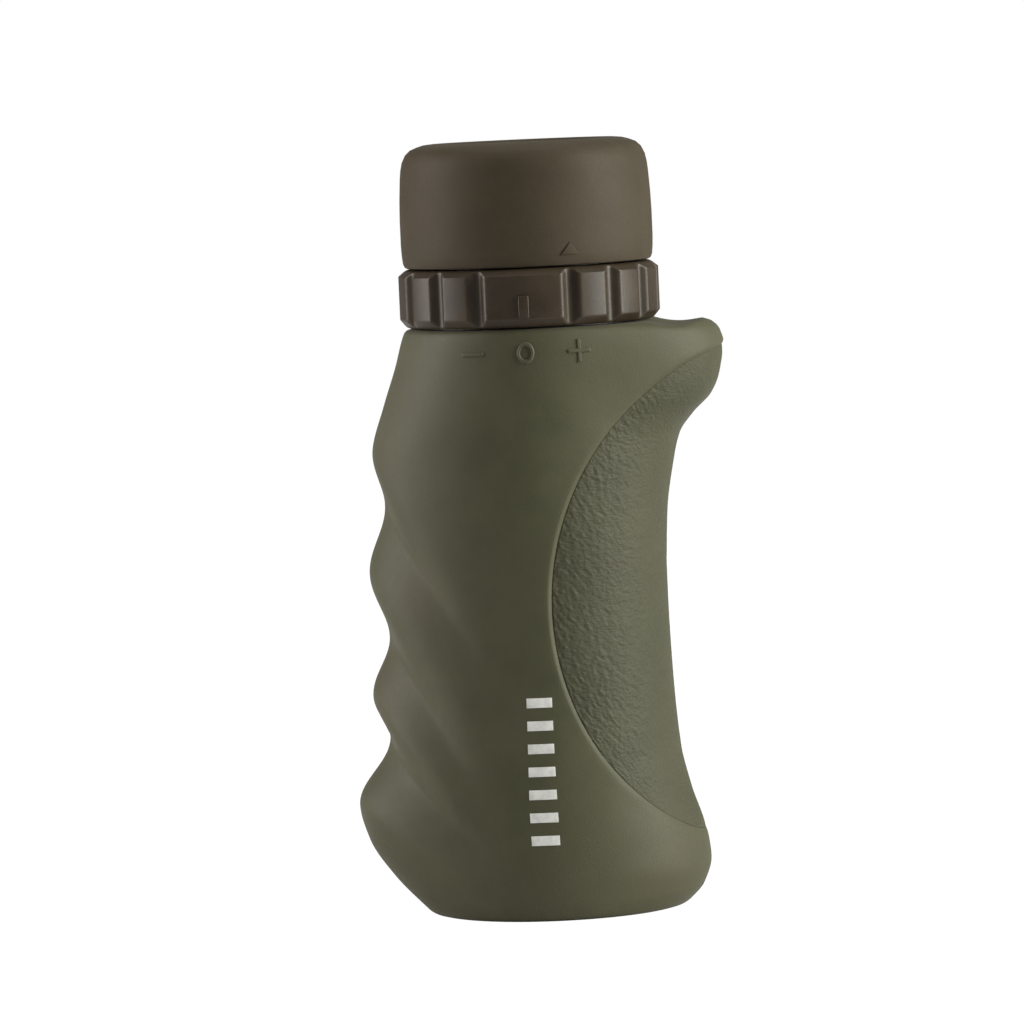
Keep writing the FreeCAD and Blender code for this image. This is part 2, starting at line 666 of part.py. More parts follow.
# ---------------------------------------------------------------- focusing parts
def focus_ring():
    body = turned([(RING_BORE, RING_FROM), (RING_LOW_R, RING_FROM), (RING_R, RING_LOW_EDGE),
                   (RING_R - 0.1, RING_HIGH_EDGE), (RING_HIGH_R, RING_TO), (RING_BORE, RING_TO)])
    floor = RING_GROOVE_FLOOR / 2
    mouth = RING_GROOVE_MOUTH / 2
    deep = RING_R - RING_GROOVE_DEPTH
    far = RING_R + 0.5
    wide = mouth + (mouth - floor) * 0.5 / RING_GROOVE_DEPTH
    corners = [V(-floor, -deep, 0), V(floor, -deep, 0), V(wide, -far, 0), V(-wide, -far, 0),
               V(-floor, -deep, 0)]
    tool = Part.Face(Part.makePolygon(corners)).extrude(V(0, 0, RING_TO - RING_FROM + 2))
    tool.translate(V(0, 0, RING_FROM - 1))
    for i in range(1, RING_DIVISIONS):
        groove = tool.copy()
        groove.rotate(ZERO, UP, i * 360.0 / RING_DIVISIONS)
        body = body.cut(groove)
    corner = V(-INDEX_WIDTH / 2, -RING_R - INDEX_RAISE, INDEX_FROM)
    return body.fuse(Part.makeBox(INDEX_WIDTH, 3, INDEX_TO - INDEX_FROM, corner))


def focus_cam_sleeve():
    sleeve = turned([(TUBE_R + RUN, SLEEVE_FROM), (SLEEVE_R, SLEEVE_FROM), (SLEEVE_R, SLEEVE_HUB_FROM),
                     (SLEEVE_HUB_R, SLEEVE_HUB_FROM), (SLEEVE_HUB_R, SLEEVE_TO),
                     (TUBE_R + RUN, SLEEVE_TO)])
    lean = math.cos(math.atan(FOCUS_LEAD / TUBE_R))
    half = (PIN_R + RUN) / lean + 0.03
    far = FOCUS_HALF_TURN + FOCUS_SLOT_SPARE
    slot = ramp(TUBE_R - 1, SLEEVE_R + 1, half, PIN_Z, -FOCUS_LEAD, -far, far)
    return cut_all(sleeve, spun(slot, PIN_COUNT, 30))


def focus_lens_cell():
    z0 = PIN_Z - CELL_HALF
    cell = ring(FOCUS_CELL_R, FOCUS_CELL_BORE, z0, PIN_Z + CELL_HALF)
    cell = cell.fuse(ring(FOCUS_CELL_R, FOCUS_CELL_BORE - FOCUS_CELL_LIP, z0, z0 + FOCUS_CELL_LIP))
    hole = radial_pin(PIN_R + 0.02, FOCUS_PIN_IN - BOND, FOCUS_CELL_R + 1, PIN_Z)
    return cut_all(cell, spun(hole, PIN_COUNT, 30))


def focus_lens():
    z0 = PIN_Z - CELL_HALF + FOCUS_CELL_LIP
    low, low_r, high, high_r = FOCUS_LENS
    return lens(FOCUS_CELL_BORE - BOND, z0 + low, low_r, z0 + high, high_r)


def focus_lens_retainer():
    z1 = PIN_Z + CELL_HALF
    return ring(FOCUS_CELL_BORE - BOND, FOCUS_CELL_BORE - 1.2, z1 - 1.4, z1 - 0.1)


def focus_pins():
    pin = radial_pin(PIN_R, FOCUS_PIN_IN, SLEEVE_R - 0.15, PIN_Z)
    return Part.makeCompound(spun(pin, PIN_COUNT, 30))


# ---------------------------------------------------------------- eyecup
def eyecup_click_ring():
    """Ring that turns in the neck of the guide, with three fingers that run in the sleeve."""
    band = ring(GUIDE_R - 0.1, GUIDE_NECK_R + RUN, CLICK_FROM, CLICK_TO)
    corner = V(GUIDE_R - 1, -KEY_HALF, CLICK_FROM)
    foot = Part.makeBox(KEY_R - GUIDE_R + 1, 2 * KEY_HALF, CLICK_TO - CLICK_FROM, corner)
    block = Part.makeBox(4, 2 * KEY_HALF, KEY_TOP - CLICK_FROM, corner)
    finger = block.common(ring(KEY_R, GUIDE_R + RUN, CLICK_FROM, KEY_TOP))
    for one in spun(foot.common(Part.makeCylinder(KEY_R, 200)).fuse(finger), PIN_COUNT, 60):
        band = band.fuse(one)
    return band


def eyecup_sleeve():
    body = turned([(GUIDE_R + RUN, CUP_SLEEVE_FROM), (CUP_SLEEVE_R, CUP_SLEEVE_FROM),
                   (CUP_SLEEVE_R, CUP_SLEEVE_TO), (CUP_WELL_R, CUP_SLEEVE_TO),
                   (CUP_WELL_R, CUP_SHOULDER), (GUIDE_R + RUN, CUP_SHOULDER)])
    wide = KEY_HALF + RUN
    corner = V(GUIDE_R - 1, -wide, CUP_SLEEVE_FROM - 1)
    keyway = Part.makeBox(4, 2 * wide, KEYWAY_TOP - CUP_SLEEVE_FROM + 1, corner)
    keyway = keyway.common(Part.makeCylinder(KEYWAY_R, 200))
    body = cut_all(body, spun(keyway, PIN_COUNT, 60))
    hole = radial_pin(CUP_PIN_R + 0.02, GUIDE_R - 1, CUP_SLEEVE_R - 0.4, CUP_PIN_Z)
    return cut_all(body, spun(hole, PIN_COUNT))


def eyecup_pins():
    pin = radial_pin(CUP_PIN_R, CUP_PIN_IN, CUP_SLEEVE_R - 0.5, CUP_PIN_Z)
    return Part.makeCompound(spun(pin, PIN_COUNT))


def eyecup_rubber():
    inner = CUP_SLEEVE_R + BOND
    lid = CUP_SLEEVE_TO + BOND
    pts = [V(inner, 0, CUP_FROM), V(CUP_FOOT_R, 0, CUP_FROM), V(19.55, 0, 102.2),
           V(CUP_BAND_R, 0, CUP_BAND_FROM), V(CUP_BAND_R, 0, CUP_BAND_TO), V(19.45, 0, 115.5),
           V(19.1, 0, 117.8), V(16.6, 0, 120.3), V(14.4, 0, CUP_TOP), V(CUP_LIP_R, 0, CUP_TOP - 0.9),
           V(CUP_LIP_R, 0, lid), V(inner, 0, lid)]
    edges = [Part.makeLine(pts[i], pts[i + 1]) for i in range(6)]
    edges.append(Part.Arc(pts[6], V(18.35, 0, 119.35), pts[7]).toShape())
    edges.append(Part.Arc(pts[7], V(15.6, 0, 120.58), pts[8]).toShape())
    edges.append(Part.Arc(pts[8], V(13.35, 0, 120.43), pts[9]).toShape())
    edges += [Part.makeLine(pts[i], pts[(i + 1) % 12]) for i in range(9, 12)]
    cup = Part.Face(Part.Wire(edges)).revolve(ZERO, UP, 360)
    front = -CUP_BAND_R - 2
    corners = [V(-ARROW_HALF, front, ARROW_FROM), V(ARROW_HALF, front, ARROW_FROM),
               V(0, front, ARROW_TO), V(-ARROW_HALF, front, ARROW_FROM)]
    arrow = Part.Face(Part.makePolygon(corners)).extrude(V(0, 3.5, 0))
    arrow.rotate(ZERO, UP, ARROW_TURN)
    arrow = arrow.common(Part.makeCylinder(CUP_BAND_R + ARROW_RAISE, 8, V(0, 0, ARROW_FROM - 3)))
    return cup.fuse(arrow)


PIECES = (armour_grip, palm_pad, chassis, top_cap, body_seal, objective_cell, objective_o_ring,
          objective_crown, objective_flint, objective_retainer, objective_baffle, half_penta_prism,
          roof_prism, prism_cage, cage_screws, prism_clip, eyepiece_bridge, bridge_screws,
          eyepiece_tube, field_stop, field_lens, lens_spacer_lower, eyepiece_flint, eyepiece_crown,
          lens_spacer_upper, eye_lens, eye_lens_retainer, eyecup_guide, ring_washer_lower,
          ring_washer_upper, focus_ring, focus_cam_sleeve, focus_lens_cell, focus_lens,
          focus_lens_retainer, focus_pins, eyecup_click_ring, eyecup_sleeve, eyecup_pins,
          eyecup_rubber)

os.makedirs("parts", exist_ok=True)
for piece in PIECES:
    shape = piece()
    if len(shape.Solids) == 1:
        shape = shape.Solids[0]
    shape.exportStep("parts/" + piece.__name__ + ".step")
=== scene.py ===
import math

import bpy
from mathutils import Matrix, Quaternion, Vector, noise


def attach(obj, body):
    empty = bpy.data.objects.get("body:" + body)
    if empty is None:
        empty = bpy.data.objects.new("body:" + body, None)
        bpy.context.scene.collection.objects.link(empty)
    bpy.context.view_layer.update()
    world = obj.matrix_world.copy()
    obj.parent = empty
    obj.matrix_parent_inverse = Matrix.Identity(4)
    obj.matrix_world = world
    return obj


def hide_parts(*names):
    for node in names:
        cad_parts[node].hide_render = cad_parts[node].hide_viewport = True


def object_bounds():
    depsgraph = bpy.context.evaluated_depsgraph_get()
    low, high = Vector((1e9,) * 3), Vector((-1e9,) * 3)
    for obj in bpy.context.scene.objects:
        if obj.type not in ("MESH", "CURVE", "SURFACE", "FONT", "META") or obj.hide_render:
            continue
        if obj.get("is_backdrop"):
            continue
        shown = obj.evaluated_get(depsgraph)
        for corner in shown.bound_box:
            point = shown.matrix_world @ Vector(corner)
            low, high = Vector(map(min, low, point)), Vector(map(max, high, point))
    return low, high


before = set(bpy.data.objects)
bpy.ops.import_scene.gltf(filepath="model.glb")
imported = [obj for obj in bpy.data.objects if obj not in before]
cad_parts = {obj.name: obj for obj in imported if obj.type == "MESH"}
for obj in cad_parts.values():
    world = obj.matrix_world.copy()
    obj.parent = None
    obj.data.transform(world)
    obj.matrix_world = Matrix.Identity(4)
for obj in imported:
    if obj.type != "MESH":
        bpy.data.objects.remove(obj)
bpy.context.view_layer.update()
MM = 0.001


# ------------------------------------------------------------------ objective end
# The cell, its retainer and the stepped baffle are turned aluminium, anodised matt black.
# The retainer screws in over the two cemented lenses; the baffle is glued behind them.
def new_group(name, inputs, outputs):
    """Empty shader node group with its sockets, and its start and end nodes."""
    group = bpy.data.node_groups.new(name, "ShaderNodeTree")
    for label, kind, value in inputs:
        socket = group.interface.new_socket(name=label, in_out="INPUT", socket_type=kind)
        socket.default_value = value
    for label, kind in outputs:
        group.interface.new_socket(name=label, in_out="OUTPUT", socket_type=kind)
    start = group.nodes.new("NodeGroupInput")
    end = group.nodes.new("NodeGroupOutput")
    return group, start, end


def grain_group():
    """Surface grain: a fine noise and a broad noise, on object coordinates."""
    inputs = (("Fine Scale", "NodeSocketFloat", 3000.0), ("Broad Scale", "NodeSocketFloat", 90.0))
    outputs = (("Fine", "NodeSocketFloat"), ("Broad", "NodeSocketFloat"))
    group, start, end = new_group("surface_grain", inputs, outputs)
    nodes = group.nodes
    links = group.links
    place = nodes.new("ShaderNodeTexCoord")
    fine = nodes.new("ShaderNodeTexNoise")
    fine.inputs["Detail"].default_value = 3.0
    fine.inputs["Roughness"].default_value = 0.6
    links.new(place.outputs["Object"], fine.inputs["Vector"])
    links.new(start.outputs["Fine Scale"], fine.inputs["Scale"])
    broad = nodes.new("ShaderNodeTexNoise")
    broad.inputs["Detail"].default_value = 4.0
    broad.inputs["Roughness"].default_value = 0.55
    links.new(place.outputs["Object"], broad.inputs["Vector"])
    links.new(start.outputs["Broad Scale"], broad.inputs["Scale"])
    links.new(fine.outputs[0], end.inputs["Fine"])
    links.new(broad.outputs[0], end.inputs["Broad"])
    return group


surface_grain = grain_group()
ROUGH_SWING = 0.07


def mix_colour(material, factor, first, second):
    """Colour mix of two colours or sockets by a factor socket; gives the result socket."""
    node = material.node_tree.nodes.new("ShaderNodeMix")
    node.data_type = "RGBA"
    material.node_tree.links.new(factor, node.inputs[0])
    for slot, value in ((6, first), (7, second)):
        if isinstance(value, tuple):
            node.inputs[slot].default_value = (*value, 1.0)
        else:
            material.node_tree.links.new(value, node.inputs[slot])
    return node.outputs[2]


def range_of(material, value, low, high, from_low=0.3, from_high=0.7):
    """Maps a noise socket to a working range."""
    node = material.node_tree.nodes.new("ShaderNodeMapRange")
    material.node_tree.links.new(value, node.inputs["Value"])
    node.inputs["From Min"].default_value = from_low
    node.inputs["From Max"].default_value = from_high
    node.inputs["To Min"].default_value = low
    node.inputs["To Max"].default_value = high
    return node.outputs["Result"]


def grained(name, dark, light, rough, fine_scale, broad_scale, depth, metal=0.0, specular=0.5):
    """Matt finish with a fine grain: colour, roughness and relief all follow the grain."""
    material = bpy.data.materials.new(name)
    material.use_nodes = True
    nodes = material.node_tree.nodes
    links = material.node_tree.links
    shader = nodes["Principled BSDF"]
    grain = nodes.new("ShaderNodeGroup")
    grain.node_tree = surface_grain
    grain.inputs["Fine Scale"].default_value = fine_scale
    grain.inputs["Broad Scale"].default_value = broad_scale
    patches = range_of(material, grain.outputs["Broad"], 0.0, 1.0)
    links.new(mix_colour(material, patches, dark, light), shader.inputs["Base Color"])
    fine_rough = range_of(material, grain.outputs["Fine"], rough - ROUGH_SWING, rough + ROUGH_SWING)
    links.new(fine_rough, shader.inputs["Roughness"])
    shader.inputs["Metallic"].default_value = metal
    shader.inputs["Specular IOR Level"].default_value = specular
    bump = nodes.new("ShaderNodeBump")
    bump.inputs["Strength"].default_value = 0.6
    bump.inputs["Distance"].default_value = depth
    links.new(grain.outputs["Fine"], bump.inputs["Height"])
    links.new(bump.outputs["Normal"], shader.inputs["Normal"])
    return material


def finish_node(name, material):
    """Gives a CAD node its finish."""
    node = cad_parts[name]
    node.data.materials.clear()
    node.data.materials.append(material)


black_anodised = grained("black_anodised", (0.010, 0.010, 0.011), (0.017, 0.017, 0.018),
                         0.42, 5200.0, 160.0, 0.00002, metal=0.55)
for name in ("objective_cell", "objective_retainer", "objective_baffle"):
    finish_node(name, black_anodised)


# The two cemented objective lenses are crown and flint glass. Their outer faces carry a
# vacuum coating, which gives the soft green and violet cast.
def coated(name, tint, sheen_tint):
    """Clear glass with a coating whose cast changes a little over the lens."""
    material = bpy.data.materials.new(name)
    material.use_nodes = True
    nodes = material.node_tree.nodes
    links = material.node_tree.links
    shader = nodes["Principled BSDF"]
    grain = nodes.new("ShaderNodeGroup")
    grain.node_tree = surface_grain
    grain.inputs["Fine Scale"].default_value = 900.0
    grain.inputs["Broad Scale"].default_value = 60.0
    patches = range_of(material, grain.outputs["Broad"], 0.0, 1.0)
    links.new(mix_colour(material, patches, tint, sheen_tint), shader.inputs["Base Color"])
    links.new(range_of(material, grain.outputs["Fine"], 0.01, 0.05), shader.inputs["Roughness"])
    shader.inputs["Transmission Weight"].default_value = 1.0
    shader.inputs["IOR"].default_value = 1.52
    shader.inputs["Coat Weight"].default_value = 0.4
    return material


objective_glass = coated("objective_glass", (0.62, 0.86, 0.72), (0.80, 0.72, 0.92))
for name in ("objective_crown", "objective_flint"):
    finish_node(name, objective_glass)

# The O-ring behind the cell is soft black nitrile rubber, rolled into its groove.
nitrile = grained("nitrile", (0.012, 0.012, 0.012), (0.022, 0.021, 0.020),
                  0.62, 4200.0, 200.0, 0.00002)
for name in ("objective_o_ring", "body_seal"):
    finish_node(name, nitrile)


# ------------------------------------------------------------------ chassis and prisms
# The chassis and the cap above it are pressure die-cast alloy with a blasted grey skin.
# The cap is pressed into the chassis, and the seal sits in its bore.
cast_alloy = grained("cast_alloy", (0.16, 0.16, 0.165), (0.23, 0.23, 0.235),
                     0.55, 3600.0, 130.0, 0.00004, metal=0.8)
for name in ("chassis", "top_cap"):
    finish_node(name, cast_alloy)

# The two prisms are polished optical glass with fine-ground sides. They sit in a moulded
# cage that is screwed to the chassis ledge, and a spring clip holds them down.
prism_glass = coated("prism_glass", (0.90, 0.95, 0.93), (0.96, 0.97, 0.98))
for name in ("half_penta_prism", "roof_prism"):
    finish_node(name, prism_glass)

moulded_black = grained("moulded_black", (0.014, 0.014, 0.015), (0.026, 0.026, 0.026),
                        0.5, 4400.0, 150.0, 0.00002)
for name in ("prism_cage", "eyepiece_bridge", "field_stop", "lens_spacer_lower", "lens_spacer_upper"):
    finish_node(name, moulded_black)

sprung_steel = grained("sprung_steel", (0.36, 0.36, 0.36), (0.52, 0.52, 0.51),
                       0.28, 5600.0, 220.0, 0.00001, metal=1.0)
for name in ("prism_clip", "cage_screws", "bridge_screws", "focus_pins", "eyecup_pins"):
    finish_node(name, sprung_steel)


# ------------------------------------------------------------------ rubber armour
# The armour is one thick moulding of matt olive-black rubber, pulled over the chassis and
# glued to it. Three finger grooves run round its left side, a beak overhangs the right.
# Sizes are in mm: stations are (height, reach), and each groove has its height at the side,
# its depth, its reach below and above, and how fast it sweeps down towards the front.
BODY_TOP = 91.9
FINGER_SIDE = ((0, 19.5), (6, 25.1), (12, 28.9), (17.5, 30.2), (26, 28.7), (35, 27.3),
               (54, 27.0), (73, 25.7), (80, 23.6), (86, 21.5), (91, 20.0), (91.9, 19.5))
PALM_SIDE = ((0, 20.8), (3, 23.6), (7, 24.85), (12, 24.2), (18, 22.4), (25, 21.0),
             (36, 20.4), (50, 20.15), (70, 20.3), (86, 20.2), (91, 19.9), (91.9, 19.5))
HALF_DEPTH = ((0, 19.5), (3, 20.2), (8, 20.7), (25, 20.6), (50, 20.4), (80, 20.3),
              (88, 20.15), (91, 19.9), (91.9, 19.5))
BEAK = ((54, 0), (62, 0.4), (70, 1.7), (74, 2.8), (77, 5.0), (80, 8.0), (83, 9.4),
        (87, 10.1), (90, 9.6), (91.2, 8.7), (91.9, 7.4))
BEAK_SPREAD = math.radians(36)
DIP_X = 23.1
DIP_R = 12.0
DIP_FLOOR = 91.12
GROOVES = ((27.3, 3.5, 9.8, 7.4, 10.8),
           (43.7, 2.85, 9.0, 10.3, 15.3),
           (64.0, 2.4, 10.0, 9.3, 15.3))
GROOVE_FULL = math.radians(10)
GROOVE_FADE = math.radians(72)
CREASE = 0.62
CREASE_FROM = 0.2
CREASE_OVER = 0.5
CREASE_ABOVE = 2.4
CREASE_BELOW = 1.7
PAD_X = 43.9
PAD_Z = 48.3
PAD_R = 41.6
POCKET = 2.05
STEP_DROP = 0.4
STEP_LEAST = 0.12
STEP_FROM = 12.0
STEP_TO = 44.0
STEP_WIDE = 0.75
STEP_CURVE = 0.6
LIP = 0.02
LIP_OUT = 1.2
LIP_WIDE = 0.6
FOOT_ROUND = 0.7
RIM_ROUND = 0.6
PAD_GAP = 0.02
PAD_TURN = 1.7
MOUTH_R = 17.0
CAVITY_FROM = 3.05
CAVITY = ((3.05, 18.95), (13, 18.9), (24, 17.65), (91.9, 17.45))


def gentle(a, b):
    """Slope at a station: harmonic mean of its two sides, level at a peak."""
    if a * b <= 0:
        return 0.0
    return 2 * a * b / (a + b)


def reach(stations, z):
    """Smooth curve through (height, reach) stations."""
    last = len(stations) - 1
    i = 0
    while i < last - 1 and z > stations[i + 1][0]:
        i += 1
    z0, r0 = stations[i]
    z1, r1 = stations[i + 1]
    slope = (r1 - r0) / (z1 - z0)
    m0 = slope
    m1 = slope
    if i > 0:
        m0 = gentle(slope, (r0 - stations[i - 1][1]) / (z0 - stations[i - 1][0]))
    if i < last - 1:
        m1 = gentle(slope, (stations[i + 2][1] - r1) / (stations[i + 2][0] - z1))
    h = z1 - z0
    t = min(max((z - z0) / h, 0.0), 1.0)
    rise = (2 * t ** 3 - 3 * t ** 2 + 1) * r0 + (3 * t ** 2 - 2 * t ** 3) * r1
    return rise + ((t ** 3 - 2 * t ** 2 + t) * m0 + (t ** 3 - t ** 2) * m1) * h


def groove_depth(phi, z):
    """Depth of the finger grooves at angle phi round from the left side and height z."""
    fade = min(max((phi - GROOVE_FULL) / GROOVE_FADE, 0.0), 1.0)
    strength = math.cos(fade * math.pi / 2) ** 2
    sharp = CREASE * min(max((phi - CREASE_FROM) / CREASE_OVER, 0.0), 1.0)
    depth = 0.0
    for z_side, deep, below, above, sweep in GROOVES:
        off = z - (z_side - sweep * phi ** 2)
        s = off / above if off > 0 else -off / below
        if s < 1:
            wave = 0.5 + 0.5 * math.cos(math.pi * s)
            crease = (1 - s) ** (CREASE_ABOVE if off > 0 else CREASE_BELOW)
            depth += deep * strength * ((1 - sharp) * wave + sharp * crease)
    return depth


def grip_point(turn, z, inset):
    """Point of the armour's outside in mm; turn is measured from +X, inset goes inwards."""
    c = math.cos(turn)
    s = math.sin(turn)
    phi = math.asin(min(abs(s), 1.0))
    dent = 0.0
    if c >= 0:
        bulge = reach(BEAK, z) * math.exp(-(phi / BEAK_SPREAD) ** 2) if z > BEAK[0][0] else 0.0
        x = (reach(PALM_SIDE, z) + bulge) * c
        y = (reach(HALF_DEPTH, z) + bulge) * s
    else:
        x = reach(FINGER_SIDE, z) * c
        y = reach(HALF_DEPTH, z) * s
        dent = groove_depth(phi, z)
    k = 1 - (dent + inset) / math.hypot(x, y)
    return Vector((x * k, y * k, z))


def past_crease(turn, z):
    """Distance in mm outside the palm pad's edge; negative under the pad."""
    p = grip_point(turn, z, 0.0)
    return math.hypot(p.x - PAD_X, z - PAD_Z) - PAD_R


def quarter(d, r):
    """Drop of a quarter round of radius r at distance d from its edge."""
    if d >= r:
        return 0.0
    return r - math.sqrt(max(r * r - (r - d) ** 2, 0.0))


def step_drop(z):
    """Drop from the armour to the palm pad; it fades out towards the foot."""
    t = min(max((z - STEP_FROM) / (STEP_TO - STEP_FROM), 0.0), 1.0)
    return STEP_LEAST + (STEP_DROP - STEP_LEAST) * t * t * (3 - 2 * t)


def armour_inset(turn, z):
    """Inset of the armour's outside: its rounded rims, the pad's pocket and the step round it."""
    s = past_crease(turn, z)
    if s < -PAD_GAP:
        return POCKET
    t = min(max(1 - s / STEP_WIDE, 0.0), 1.0)
    step = step_drop(z) * t * t * (1 + STEP_CURVE - STEP_CURVE * t)
    lip = LIP * math.exp(-((s - LIP_OUT) / LIP_WIDE) ** 2)
    return quarter(z, FOOT_ROUND) + quarter(BODY_TOP - z, RIM_ROUND) + step - lip


def dipped(p):
    """Lowers a point of the beak's top into the hollow across it."""
    away = abs(p.x - DIP_X)
    if away < DIP_R:
        p.z = min(p.z, DIP_FLOOR + DIP_R - math.sqrt(DIP_R ** 2 - away ** 2))
    return p


FOOT_ROWS = 5
RIM_ROWS = 4
OUTSIDE = 153
TOP = 159
INSIDE = 189
LEDGE = 191
MOUTH = 194
ROWS = 198
COLUMNS = 256
ROW_STEP = (BODY_TOP - FOOT_ROUND - RIM_ROUND) / (OUTSIDE - FOOT_ROWS - RIM_ROWS)


def outside_height(q):
    """Height of a grid row on the outside; the rows crowd at both rims."""
    if q < FOOT_ROWS:
        return FOOT_ROUND * q / FOOT_ROWS
    if q > OUTSIDE - RIM_ROWS:
        return BODY_TOP - RIM_ROUND * (OUTSIDE - q) / RIM_ROWS
    return FOOT_ROUND + (q - FOOT_ROWS) * ROW_STEP


def armour_point(turn, q):
    """Point of the armour's whole skin: up the outside, over the rim, down the inside, round the foot."""
    if q <= OUTSIDE:
        z = outside_height(q)
        return dipped(grip_point(turn, z, armour_inset(turn, z)))
    around = Vector((math.cos(turn), math.sin(turn), 0))
    if q <= TOP:
        rim = grip_point(turn, BODY_TOP, RIM_ROUND)
        t = (q - OUTSIDE) / (TOP - OUTSIDE)
        inner = around * reach(CAVITY, BODY_TOP)
        inner.z = BODY_TOP
        return dipped(rim.lerp(inner, t))
    if q <= INSIDE:
        z = BODY_TOP - (BODY_TOP - CAVITY_FROM) * (q - TOP) / (INSIDE - TOP)
        p = around * reach(CAVITY, z)
        p.z = z
        return p
    if q <= LEDGE:
        t = (q - INSIDE) / (LEDGE - INSIDE)
        p = around * (reach(CAVITY, CAVITY_FROM) * (1 - t) + MOUTH_R * t)
        p.z = CAVITY_FROM
        return p
    if q <= MOUTH:
        t = (q - LEDGE) / (MOUTH - LEDGE)
        p = around * MOUTH_R
        p.z = CAVITY_FROM * (1 - t)
        return p
    t = (q - MOUTH) / (ROWS - MOUTH)
    return (around * MOUTH_R).lerp(grip_point(turn, 0, FOOT_ROUND), t)


def pick_faces(piece, test):
    """Selects the faces whose centre passes the test."""
    bpy.ops.object.mode_set(mode="OBJECT")
    mesh = piece.data
    for v in mesh.vertices:
        v.select = False
    for e in mesh.edges:
        e.select = False
    for f in mesh.polygons:
        f.select = test(f.center)
    bpy.ops.object.mode_set(mode="EDIT")


def started(name):
    """Names the primitive just added and opens it for editing."""
    piece = bpy.context.object
    piece.name = name
    piece.data.name = name
    bpy.ops.object.mode_set(mode="EDIT")
    bpy.ops.mesh.select_mode(type="FACE")
    return piece


def closed_up(piece, angle=40.0):
    """Merges points that meet, turns the faces outwards and smooths them up to an angle."""
    bpy.ops.object.mode_set(mode="EDIT")
    bpy.ops.mesh.select_all(action="SELECT")
    bpy.ops.mesh.remove_doubles(threshold=0.000002)
    bpy.ops.mesh.normals_make_consistent(inside=False)
    bpy.ops.object.mode_set(mode="OBJECT")
    bpy.ops.object.shade_smooth_by_angle(angle=math.radians(angle))


bpy.ops.object.select_all(action="DESELECT")
bpy.ops.mesh.primitive_grid_add(x_subdivisions=COLUMNS, y_subdivisions=ROWS, size=1.0)
armour = started("armour_skin")
BAND_IN = -0.6
BAND_OUT = 1.5
SNAP = 0.08
NUDGE_TURN = 0.001
NUDGE_UP = 0.02
GRIP_R = 20.4


def grid_place(co):
    """Turn and row of a point of the flat grid."""
    return 2 * math.pi * co.x, (co.y + 0.5) * ROWS


def near_crease(co):
    """Whether a face of the flat grid lies in the band along the pad's edge."""
    turn, q = grid_place(co)
    if q > OUTSIDE or abs(turn) > PAD_TURN:
        return False
    return BAND_IN < past_crease(turn, outside_height(q)) < BAND_OUT


for split in range(2):
    pick_faces(armour, near_crease)
    bpy.ops.mesh.subdivide(number_cuts=1)
bpy.ops.object.mode_set(mode="OBJECT")
for v in armour.data.vertices:
    turn, q = grid_place(v.co)
    if q < OUTSIDE - FOOT_ROWS and abs(turn) < PAD_TURN:
        z = outside_height(q)
        s = past_crease(turn, z)
        if abs(s) < SNAP:
            by_turn = (past_crease(turn + NUDGE_TURN, z) - s) / (NUDGE_TURN * GRIP_R)
            by_height = (past_crease(turn, z + NUDGE_UP) - s) / NUDGE_UP
            scale = s / (by_turn ** 2 + by_height ** 2)
            turn -= scale * by_turn / GRIP_R
            q -= scale * by_height / ROW_STEP
    v.co = armour_point(turn, q) * MM
closed_up(armour, 50.0)


def rubber(name, dark, light, warm, rough, fine_scale, depth, specular=0.24, sheen=0.07):
    """Moulded matt rubber: dusty patches, a fine open grain and a faint sheen."""
    material = grained(name, dark, light, rough, fine_scale, 140.0, depth, specular=specular)
    nodes = material.node_tree.nodes
    links = material.node_tree.links
    shader = nodes["Principled BSDF"]
    place = nodes.new("ShaderNodeTexCoord")
    cloud = nodes.new("ShaderNodeTexNoise")
    cloud.inputs["Scale"].default_value = 38.0
    cloud.inputs["Detail"].default_value = 2.0
    links.new(place.outputs["Object"], cloud.inputs["Vector"])
    warm_part = range_of(material, cloud.outputs[0], 0.0, 0.7, 0.45, 0.75)
    base = shader.inputs["Base Color"].links[0].from_socket
    links.new(mix_colour(material, warm_part, base, warm), shader.inputs["Base Color"])
    shader.inputs["Sheen Weight"].default_value = sheen
    shader.inputs["Sheen Roughness"].default_value = 0.45
    shader.inputs["Sheen Tint"].default_value = (0.9, 0.85, 0.75, 1.0)
    return material


armour_rubber = rubber("armour_rubber", (0.052, 0.052, 0.027), (0.064, 0.063, 0.034),
                       (0.068, 0.059, 0.034), 0.58, 3400.0, 0.00005)
armour.data.materials.append(armour_rubber)
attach(armour, "body")
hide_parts("armour_grip")


# ------------------------------------------------------------------ palm pad
# The palm pad is a thin inlay of softer rubber, glued into a pocket of the armour. Its skin
# is moulded with short slanting wrinkles, deepest near the curved edge. The mesh is open
# along its front edge, where it stands against the pocket's wall.
PAD_UNDER = 1.95
PAD_ROUND = 0.1
PAD_COLUMNS = 176
UNDER_COLUMNS = 12
PAD_ROWS = 520
PAD_SPREAD = 0.25
ROW_CROWD = 0.5
HALVINGS_UP = 40
HALVINGS_ROUND = 26


def pad_end(inside, outside):
    """Height where the pad's edge crosses the right side, between two heights."""
    for step in range(HALVINGS_UP):
        middle = (inside + outside) / 2
        if past_crease(0.0, middle) < -PAD_GAP:
            inside = middle
        else:
            outside = middle
    return inside


PAD_LOW = pad_end(48.0, 4.0)
PAD_HIGH = pad_end(80.0, 91.0)


def pad_half_turn(z):
    """Turn at which the pad's edge lies at a height."""
    inside = 0.0
    outside = PAD_TURN
    for step in range(HALVINGS_ROUND):
        middle = (inside + outside) / 2
        if past_crease(middle, z) < -PAD_GAP:
            inside = middle
        else:
            outside = middle
    return inside


